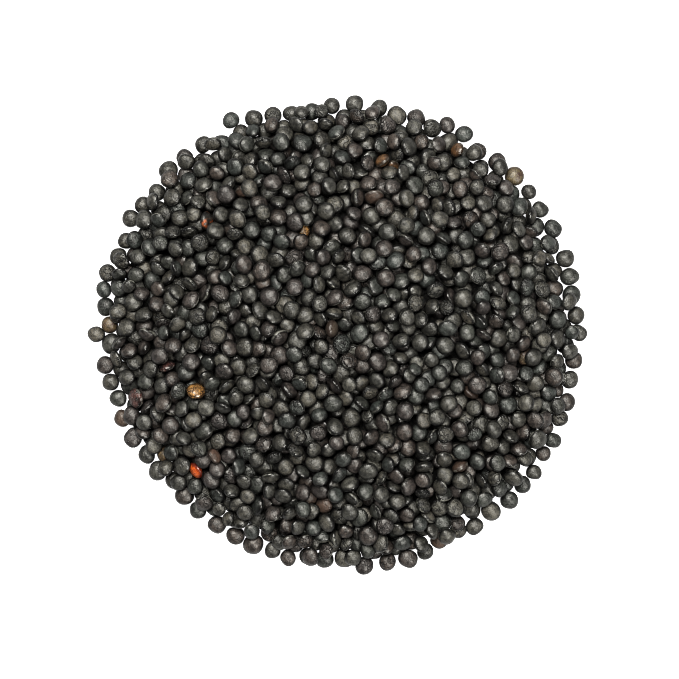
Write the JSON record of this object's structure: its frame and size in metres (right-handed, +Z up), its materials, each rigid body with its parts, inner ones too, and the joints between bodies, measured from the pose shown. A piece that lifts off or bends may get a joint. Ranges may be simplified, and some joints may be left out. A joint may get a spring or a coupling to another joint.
{
  "type": "heap of dry black lentils",
  "caption": "Loose, round, low heap of small dry black lentils, lying on a flat surface with a ragged rim.",
  "frame": {"origin": "centre of the box round the heap, on the surface that it lies on", "axes": "+Z up out of the surface, +X and +Y across the heap, +Y towards the top of the picture"},
  "size_m": [0.1155, 0.1115, 0.015],
  "materials": {
    "black_lentil": "satin, dry seed skin, nearly black with a few brown and red-orange seeds"
  },
  "bodies": {
    "root": {"lentil_heap": "black_lentil"}
  },
  "joints": []
}
